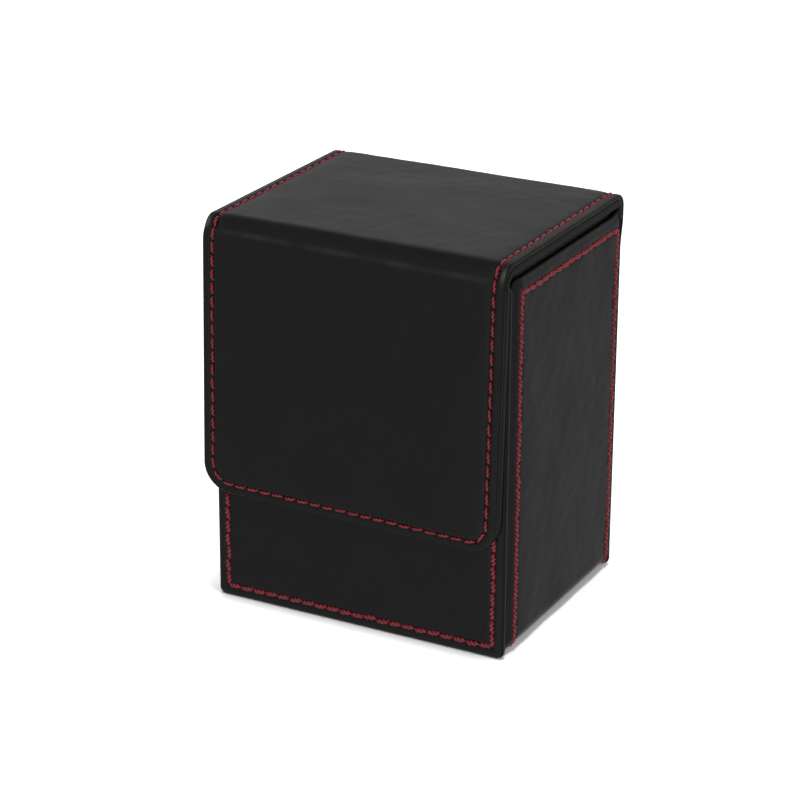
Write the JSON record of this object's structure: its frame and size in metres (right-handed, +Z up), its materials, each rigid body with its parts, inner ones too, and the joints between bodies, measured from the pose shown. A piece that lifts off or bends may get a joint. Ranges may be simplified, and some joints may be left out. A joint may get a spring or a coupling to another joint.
{
  "type": "card deck box",
  "caption": "Flip-top trading card deck box in stitched leatherette, with a magnetic front flap and a stiff lined card tray.",
  "frame": {"origin": "middle of the underside of the closed box", "axes": "+Z up through the lid, +Y to the hinged back, +X to the right as seen from the front flap"},
  "size_m": [0.0824, 0.0694, 0.1033],
  "materials": {
    "leatherette": "fine grain, semi-matte",
    "lining": "suede nap",
    "board": "raw grey board",
    "tray": "matte",
    "thread": "twisted polyester thread",
    "magnet": "plated"
  },
  "bodies": {
    "body": {"card_tray": "tray", "tray_floor_lining": "lining", "tray_front_lining": "lining", "tray_back_lining": "lining", "tray_left_lining": "lining", "tray_right_lining": "lining", "side_wrap": "leatherette", "left_board": "board", "right_board": "board", "bottom_board": "board", "front_cover": "leatherette", "front_board": "board", "body_magnets": "magnet", "back_cover": "leatherette", "back_board": "board", "back_facing": "leatherette", "front_stitching": "thread", "left_stitching": "thread", "right_stitching": "thread", "back_stitching": "thread", "rear_hinge": "leatherette"},
    "lid": {"lid_cover": "leatherette", "lid_board": "board", "lid_lining": "leatherette", "lid_stitching": "thread", "front_bend": "leatherette"},
    "flap": {"flap_cover": "leatherette", "flap_board": "board", "flap_lining": "leatherette", "flap_magnets": "magnet", "flap_stitching": "thread"}
  },
  "joints": [
    {"name": "lid_hinge", "type": "hinge", "parent": "body", "child": "lid", "pos_m": [0, 0.03365, 0.10225], "axis": [-1, 0, 0], "range_deg": [0, 180], "deforming": ["rear_hinge"]},
    {"name": "flap_hinge", "type": "hinge", "parent": "lid", "child": "flap", "pos_m": [0, -0.03311, 0.10171], "axis": [-1, 0, 0], "range_deg": [0, 90], "deforming": ["front_bend"]}
  ]
}
